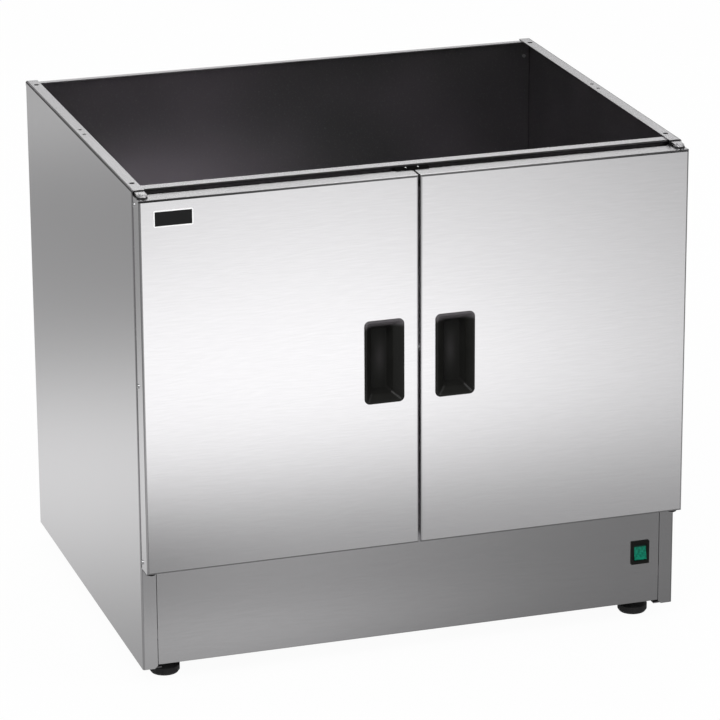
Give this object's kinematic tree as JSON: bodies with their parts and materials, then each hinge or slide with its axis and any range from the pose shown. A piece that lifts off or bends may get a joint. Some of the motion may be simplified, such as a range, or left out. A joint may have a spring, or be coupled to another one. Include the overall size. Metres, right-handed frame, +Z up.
{
  "type": "plate warmer cabinet",
  "caption": "Open-topped stainless pedestal cabinet that warms plates: hinged double doors with dished pulls, wire shelf, heated floor behind a plinth with a lit rocker switch, levelling feet.",
  "frame": {"origin": "on the ground, under the middle of the bounding box", "axes": "+Z up, the doors face -Y, +X to the right as seen from the front"},
  "size_m": [0.721, 0.6082, 0.654],
  "materials": {
    "brushed_stainless": "brushed",
    "bright_steel": "bright",
    "plated_steel": "satin",
    "zinc_steel": "zinc plated",
    "foot_rubber": "matt",
    "black_plastic": "satin moulded",
    "green_lens": "gloss",
    "nylon": "matt",
    "ceramic": "glazed ceramic",
    "brass": "satin",
    "badge_plate": "anodised with a bright rim",
    "element_sheath": "heat tinted"
  },
  "bodies": {
    "cabinet": {"left_side_panel": "brushed_stainless", "right_side_panel": "brushed_stainless", "back_panel": "brushed_stainless", "front_top_rail": "brushed_stainless", "plinth_panel": "brushed_stainless", "cabinet_floor": "brushed_stainless", "bottom_pan": "brushed_stainless", "left_shelf_support": "brushed_stainless", "right_shelf_support": "brushed_stainless", "wire_shelf": "bright_steel", "heating_element": "element_sheath", "element_combs": "plated_steel", "element_terminals": "ceramic", "limit_thermostat": "black_plastic", "terminal_block": "ceramic", "earth_stud": "bright_steel", "cable_gland": "black_plastic", "gland_nut": "black_plastic", "switch_body": "black_plastic", "switch_terminals": "brass", "magnetic_catch": "black_plastic", "catch_poles": "bright_steel", "upper_hinge_plates": "plated_steel", "lower_hinge_plates": "plated_steel", "hinge_pins": "bright_steel", "hinge_screws": "bright_steel", "back_rivets": "bright_steel", "foot_plates": "plated_steel"},
    "left_door": {"left_door_skin": "brushed_stainless", "left_door_liner": "brushed_stainless", "left_handle": "black_plastic", "left_bushes": "nylon", "left_strike": "bright_steel", "left_door_screws": "bright_steel", "badge_plate": "badge_plate"},
    "right_door": {"right_door_skin": "brushed_stainless", "right_door_liner": "brushed_stainless", "right_handle": "black_plastic", "right_bushes": "nylon", "right_strike": "bright_steel", "right_door_screws": "bright_steel"},
    "rocker": {"switch_rocker": "green_lens"},
    "front_left_foot": {"front_left_pad": "foot_rubber", "front_left_stud": "zinc_steel"},
    "front_right_foot": {"front_right_pad": "foot_rubber", "front_right_stud": "zinc_steel"},
    "rear_left_foot": {"rear_left_pad": "foot_rubber", "rear_left_stud": "zinc_steel"},
    "rear_right_foot": {"rear_right_pad": "foot_rubber", "rear_right_stud": "zinc_steel"}
  },
  "joints": [
    {"name": "left_door_hinge", "type": "hinge", "parent": "cabinet", "child": "left_door", "pos_m": [-0.351, -0.2879, 0.40475], "axis": [0, 0, -1], "range_deg": [0, 110]},
    {"name": "right_door_hinge", "type": "hinge", "parent": "cabinet", "child": "right_door", "pos_m": [0.351, -0.2879, 0.40475], "axis": [0, 0, 1], "range_deg": [0, 110]},
    {"name": "rocker_tilt", "type": "hinge", "parent": "cabinet", "child": "rocker", "pos_m": [0.3135, -0.2709, 0.098], "axis": [1, 0, 0], "range_deg": [0, 16]},
    {"name": "front_left_foot_slide", "type": "slide", "parent": "cabinet", "child": "front_left_foot", "axis": [0, 0, 1], "range_m": [-0.012, 0]},
    {"name": "front_right_foot_slide", "type": "slide", "parent": "cabinet", "child": "front_right_foot", "axis": [0, 0, 1], "range_m": [-0.012, 0]},
    {"name": "rear_left_foot_slide", "type": "slide", "parent": "cabinet", "child": "rear_left_foot", "axis": [0, 0, 1], "range_m": [-0.012, 0]},
    {"name": "rear_right_foot_slide", "type": "slide", "parent": "cabinet", "child": "rear_right_foot", "axis": [0, 0, 1], "range_m": [-0.012, 0]}
  ]
}
